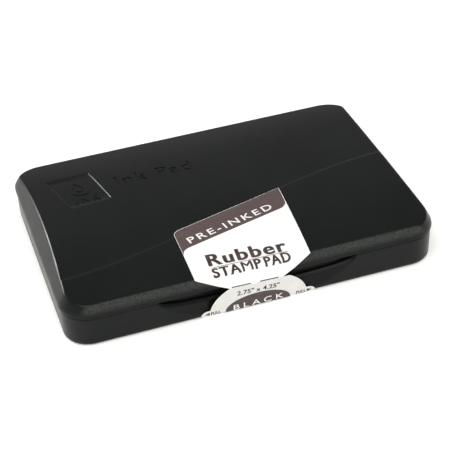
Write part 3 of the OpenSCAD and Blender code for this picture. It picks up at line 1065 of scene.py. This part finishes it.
def base_profile():
    """From under the base, round the bottom edge and up the front past the tear line."""
    fold = np.array([FOOT_Y + 0.02, 0.36])
    up = np.array([TOP_Y - FOOT_Y, TOP_Z - FOOT_Z])
    up /= np.linalg.norm(up)
    foot = np.array([FOOT_Y, FOOT_Z])
    points = [np.array([y, 0.36]) for y in np.linspace(FOOT_Y + UNDER_DEPTH + 1, FOOT_Y + 0.4, 14)]
    points += rounding(points[-1], fold, foot + up * 0.1, 5)[1:]
    points += [foot + up * s for s in np.linspace(0.5, 11.0, 12)]
    length = run_length(np.array(points))
    return length - length[FRONT_POINT], np.array(points)


BASE_ALONG, BASE_POINTS = base_profile()
BASE_SHEET = Sheet(BASE_ALONG, BASE_POINTS, middle=BASE_LABEL_X)
BASE_CUTS = [*BASE_ALONG[FOLD_POINT:FRONT_POINT + 2], -6, 3, 6, 9]


def on_front(z):
    """Place along the base's sheet for a height on the front."""
    return float(np.interp(z, BASE_POINTS[FRONT_POINT:, 1], BASE_ALONG[FRONT_POINT:]))


def base_label_outline():
    """The dome with its pull tabs, and the same shape again folded under the base."""
    half_w, rise, tab_x, tab_h, tab_r = 17.0, 12.7, 20.0, 2.2, 2.6
    gap = 0.05

    def dome(top, side):
        return [(side * half_w * math.sqrt(1 - (v / rise) ** 2), v) for v in np.linspace(tab_h, top, 16)]

    def tab(side, sign):
        return [(side * (tab_x - tab_r + tab_r * math.cos(a)), sign * tab_h * math.sin(a))
                for a in np.radians(np.linspace(0, 84, 9))]

    left_top, right_top = on_front(TEAR_L[1] - gap), on_front(TEAR_R[1] - gap)
    right, left = dome(right_top, 1), dome(left_top, -1)
    torn = tear_line(left[-1], right[-1], 4)[::-1]
    upper = tab(1, 1) + right + torn[1:-1] + left[::-1] + tab(-1, 1)[::-1]
    lower = tab(1, -1) + [(x, -y) for x, y in dome(UNDER_DEPTH - 0.2, 1)]
    lower += [(-x, y) for x, y in reversed(lower)]
    return upper + lower[::-1][1:-1]


def on_base(name, bm, base, thick, material, *replaced):
    obj = BASE_SHEET.bend(name, cut_rows(bm, BASE_CUTS), base, thick)
    piece(obj, "base", material, "label_paper", *replaced)


def ellipse(cx, cy, a, b, steps=64):
    return [(cx + a * math.cos(2 * math.pi * k / steps), cy + b * math.sin(2 * math.pi * k / steps))
            for k in range(steps)]


def lid_label():
    """The upper part of the seal, with its print."""
    def printed(name, bm, material, over=0.0):
        on_lid("lid_print_" + name, bm, PAPER_SKIN + PAPER_T + over, PRINT_T, material)

    on_lid("lid_label_paper", prism(lid_label_outline()), PAPER_SKIN, PAPER_T, PAPER, "lid_label")
    printed("band", prism(band_outline()), MAUVE)
    kind = set_type(words("PRE-INKED", 0.008, 1.3), (-17.6, -28.6), (14.2, -20.9), 2.9)
    printed("kind", kind, WHITE_PRINT, PRINT_T)
    first = set_type(words("Rubber", 0.016, 1.15, 0.045), (-15.2, -40.9), (11.6, -42.2), 5.3)
    printed("first_line", first, BROWN)
    rule = prism([(-14.7, -42.0), (11.5, -42.75), (11.5, -42.53), (-14.7, -41.78)])
    printed("rule", rule, MAUVE)
    second_line = [("a", "STA", -15.1, -5.5), ("b", "M", -5.2, -1.5)]
    second_line += [("c", "P", -0.9, 1.5), ("d", "PAD", 2.5, 11.5)]
    for name, text, *ends in second_line:
        start, end = ((x, -46.35 - 0.02 * x) for x in ends)
        word = set_type(words(text, 0.0 if text == "M" else 0.02, 1.15, 0.04), start, end, 3.8)
        printed("second_line_" + name, word, BROWN)

    for name, *ends in (("left", -9.6, -3.0), ("right", 0.1, 6.5)):
        line = [(x, at_height(np.interp(x, *zip(TEAR_L, TEAR_R)))) for x in ends]
        dash = prism([(x, v + 0.1) for x, v in line] + [(x, v + 0.52) for x, v in reversed(line)])
        printed("tear_" + name, dash, BLACK_PRINT)


def base_label():
    """The lower part of the seal, which bridges the scoop, with its print."""
    def printed(name, bm, material, over=0.0):
        on_base("base_print_" + name, bm, PAPER_T + over, PRINT_T, material)

    on_base("base_label_paper", prism(base_label_outline()), 0.0, PAPER_T, SHADED_PAPER, "base_label")
    size = set_type(words('2.75" x 4.25"', 0.012, 1.05, 0.03), (-7.5, 6.3), (7.2, 5.8), 2.0)
    printed("size", size, BLACK_PRINT)
    printed("spot", prism(ellipse(-0.2, 0.1, 11.3, 5.4)), SHADED_SPOT_PRINT)
    colour = set_type(words("BLACK", 0.004, 1.5), (-8.7, -0.1), (8.7, 0.2), 2.3)
    printed("colour", colour, WHITE_PRINT, PRINT_T)
    for name, side in (("left", -1), ("right", 1)):
        arrow = prism([(side * 17.0, 0.1), (side * 18.7, 0.8), (side * 17.0, 1.5)])
        printed("arrow_" + name, arrow, BLACK_PRINT)
        left = min(side * 13.2, side * 16.6)
        pull = set_type(words("PULL", 0.02, 1.1, 0.04), (left, 0.1), (left + 3.4, 0.1), 1.35)
        printed("pull_" + name, pull, BLACK_PRINT)


# ---- the pad inside
def deck():
    """The deck around the pad: a plate with a well, and a step for the frame."""
    plan = Plan(scoop_columns(HALF_W - CASE_R, 30, 6), even_rows(20), 8)

    def plate(inset, z):
        ring = plan.ring(deck_hi[0] - inset, DECK_FRONT + inset, deck_hi[1] - inset, 8 - inset)
        points = level(ring, z)
        behind = scoop_arc_y(points[:, 0], BASE_WALL + DECK_GAP) + inset
        points[:, 1] = np.where(ring[:, 3] < -0.999, np.maximum(points[:, 1], behind), points[:, 1])
        return points

    def well(out, r, z):
        """The well's outline, this far outside its own walls."""
        return around_pad(plan, WELL_HALF_W, WELL_HALF_D, out, r, z)

    top, under, bottom = deck_hi[2], 10.4, 6.8
    well_floor, seat = board_lo[2], frame_lo[2]
    rings = [well(-0.6, 1, well_floor), well(0, 1, well_floor + 0.6)]
    rings += [well(0, 1, seat - 0.15), well(0.15, 1.1, seat)]
    rings += [well(2.2, 3.2, seat), well(2.2, 3.2, top - 0.2), well(2.4, 3.4, top)]
    rings += rounding(plate(0.5, top), plate(0, top), plate(0, top - 0.5))
    rings += [plate(0, under + 0.2), plate(0.2, under), well(1.3, 2.1, under), well(1.2, 2, under - 0.2)]
    rings += [well(1.2, 2, bottom + 0.3), well(0.9, 1.7, bottom)]
    bm = plan.solid(rings, flat(well_floor), flat(bottom))
    return make_object("deck_moulding", bm, 40)


def deck_apron():
    """The deck's front wall, which follows the scoop and closes the view through the notch."""
    half_w, thick, bottom, top = 34.0, 1.8, 5.0, 10.45
    x = np.linspace(-half_w, half_w, 49)
    front = np.maximum(scoop_arc_y(x, BASE_WALL + DECK_GAP), DECK_FRONT)
    back = scoop_arc_y(x, BASE_WALL + DECK_GAP + thick)
    bm = set_heights(prism(list(zip(x, front)) + list(zip(x[::-1], back[::-1]))), bottom, top)
    lower = [edge for edge in bm.edges if all(vert.co.z < bottom + 0.1 for vert in edge.verts)]
    bmesh.ops.bevel(bm, geom=lower, offset=0.15, segments=2, affect="EDGES")
    return make_object("deck_front_wall", bm, 40)


def pad_frame():
    """The frame that holds the foam's edge down, with its inner edge sloped to the pad."""
    plan = even_plan(31, 20, 6)
    z0, z1 = frame_lo[2], frame_hi[2]

    def ring(inset, r, z):
        return level(plan.ring(frame_hi[0] - inset, frame_lo[1] + inset, frame_hi[1] - inset, r), z)

    opening = frame_hi[0] - FACE_HALF_W
    rings = [ring(0, 3, z0)] + rounding(ring(0, 3, z1 - 0.35), ring(0, 3, z1), ring(0.35, 2.7, z1), 3)
    low = ring(opening, 1.2, z1 - 0.6)
    rings += rounding(ring(opening - 1.2, 2.2, z1), ring(opening - 0.4, 1.5, z1), low)
    rings += [ring(opening, 1.2, z0)]
    return make_object("frame_moulding", plan.hoop(rings), 45)


def foam():
    """The inking pad: a flange under the frame and a softly crowned face with rounded, pressed-in edges."""
    plan = even_plan(141, 84, 6)
    half_w, half_d = FACE_HALF_W - 0.3, FACE_HALF_D - 0.3
    flange_top, crown_h, wave_h = 12.0, 0.26, 0.05
    rng = np.random.default_rng(7)
    waves = [(rng.uniform(0.05, 0.22), rng.uniform(0.05, 0.22), rng.uniform(0, 6.28)) for _ in range(10)]

    def face_z(x, y):
        crown = (1 - (np.abs(x) / half_w) ** 6) * (1 - (np.abs(y - PAD_Y) / half_d) ** 6)
        soft = sum(np.sin(a * x + b * (y - PAD_Y) * 1.3 + c) for a, b, c in waves) / len(waves)
        return foam_hi[2] - 0.32 + crown_h * np.clip(crown, 0, 1) ** 0.6 + wave_h * soft * crown

    def ring(inset, z):
        return around_pad(plan, half_w, half_d, -inset, 1.0, z)

    start = ring(0.9, 0)
    rim_z = face_z(start[:, 0], start[:, 1])
    rings = rounding(level(start, rim_z), ring(0, rim_z), ring(0, frame_hi[2] - 0.1), 5)
    out = half_w - foam_hi[0]
    rings += [ring(0, flange_top), ring(out, flange_top), ring(out, foam_lo[2])]
    bm = plan.solid(rings, face_z, flat(foam_lo[2]))
    return make_object("foam_inking_face", bm, 60)


def layer(name, lo, hi, edge, crown=0.0):
    """A flat layer with rounded edges, and a top that is crowned by this much."""
    plan = even_plan(61, 40, 5)
    high = hi[2] - crown

    def ring(inset, z):
        return level(plan.ring(hi[0] - inset, lo[1] + inset, hi[1] - inset, 1.0 - inset), z)

    def top(x, y):
        return high + crown * (1 - (x / hi[0]) ** 4) * (1 - (2 * (y - lo[1]) / (hi[1] - lo[1]) - 1) ** 4)

    rings = rounding(ring(edge, high), ring(0, high), ring(0, high - edge))
    rings += rounding(ring(0, lo[2] + edge), ring(0, lo[2]), ring(edge, lo[2]))
    bm = plan.solid(rings, top, flat(lo[2]))
    return make_object(name, bm, 60)


# ---- stage, light and camera
def floor():
    """A plain pale floor."""
    half = 3000.0
    corners = [(x * half, y * half, 0) for x, y in ((-1, -1), (1, -1), (1, 1), (-1, 1))]
    obj = make_object("floor", bmesh_of(corners, [(0, 1, 2, 3)]))
    m = Material("floor_pale")
    m.set(Base_Color=m.ramp(m.noise(300, 2), [(0.3, (0.92, 0.915, 0.90)), (0.7, (0.94, 0.935, 0.92))]))
    m.set(Roughness=1.0, Specular_IOR_Level=0.0, Emission_Color=(1.0, 0.995, 0.98), Emission_Strength=0.2)
    obj.data.materials.append(m.material)


def soft_light(name, place, aim, width, height, watts):
    """A softbox at a place, turned to a point, both in metres."""
    light = bpy.data.lights.new(name, "AREA")
    light.shape = "RECTANGLE"
    light.size, light.size_y = width, height
    light.energy = watts
    obj = add_object(name, light)
    obj.location = place
    obj.rotation_euler = (Vector(aim) - Vector(place)).to_track_quat("-Z", "Y").to_euler()
    obj.visible_camera = False


def sky():
    """A dim room that is brighter at the horizon than overhead."""
    world = bpy.data.worlds.new("studio")
    bpy.context.scene.world = world
    world.use_nodes = True
    graph = Graph(world.node_tree)
    up = graph.node("SeparateXYZ", "Z", {0: graph.node("TexCoord", "Generated", {})})
    stops = [(0.0, 0.72), (0.15, 0.36), (0.3, 0.16), (0.57, 0.62), (0.79, 0.3), (1.0, 0.08)]
    colour = graph.ramp(up, [(place, (value, value * 0.985, value * 0.955)) for place, value in stops])
    graph.node("OutputWorld", None, {"Surface": graph.node("Background", "Background", {"Color": colour})})


def camera():
    """The photograph's view: from the front, a little to the left, and 35 degrees above."""
    yaw, pitch, roll = (math.radians(a) for a in (-15.630, 35.076, -4.159))
    back = Vector((math.sin(yaw) * math.cos(pitch), -math.cos(yaw) * math.cos(pitch), math.sin(pitch)))
    right = Vector((math.cos(yaw), math.sin(yaw), 0))
    up = back.cross(right)
    x_axis = math.cos(roll) * right + math.sin(roll) * up
    y_axis = -math.sin(roll) * right + math.cos(roll) * up
    cam = bpy.data.cameras.new("camera")
    cam.sensor_width = 36
    cam.lens = 108.354
    cam.clip_start = 0.01
    obj = add_object("camera", cam)
    turn = Matrix((x_axis, y_axis, back)).transposed().to_4x4()
    place = (x_axis * 2.423 + y_axis * 2.455 + back * 484.55) * MM
    obj.matrix_world = Matrix.Translation(place) @ turn
    bpy.context.scene.camera = obj


def lights():
    """A large soft key, a low strip in front, a box for the lid's left edge and one for the notch's rim."""
    soft_light("key", (-0.12, -0.56, 1.38), (0, 0, 0), 1.2, 1.0, 16.6)
    soft_light("front_strip", (0.3, -1.2, 0.04), (0, 0, 0.015), 1.3, 0.16, 1.0)
    soft_light("edge_box", (-0.79, 1.1, 0.645), (0, 0, 0.02), 0.16, 0.3, 12)
    soft_light("rim_box", (-0.1, -0.99, 0.74), (0, -0.045, 0.01), 0.9, 0.12, 2.4)
    view = bpy.context.scene.view_settings
    view.view_transform = "Standard"
    view.look = "None"


# ---- putting it together
camera()
floor()
sky()
lights()

lid = piece(emboss_lid(lid_body()), "lid", CASE, "case_plastic", "lid_shell")
for part in emblem_parts():
    piece(part, "lid", CASE, "case_plastic")
piece(seal_rib(), "lid", CASE, "case_plastic")
for side in (-1, 1):
    piece(lid_lug(side), "lid", CASE, "case_plastic")
piece(hinge_cuts(base_body()), "base", CASE, "case_plastic", "base_shell")
lid_label()
base_label()

piece(deck(), "base", DECK, "deck_plastic", "pad_deck")
piece(deck_apron(), "base", DECK, "deck_plastic")
piece(pad_frame(), "base", DECK, "deck_plastic", "pad_frame")
pad = piece(foam(), "base", FOAM, "inked_foam", "foam_pad")
felt_mesh = layer("felt_layer", felt_lo, felt_hi, 0.35, 0.1)
felt_layer = piece(felt_mesh, "base", FELT, "ink_felt", "ink_reservoir")
piece(layer("backing_layer", board_lo, board_hi, 0.15), "base", BOARD, "backing_board", "pad_backing")
for name in ("hinge_pin_left", "hinge_pin_right"):
    coat(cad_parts[name], STEEL)
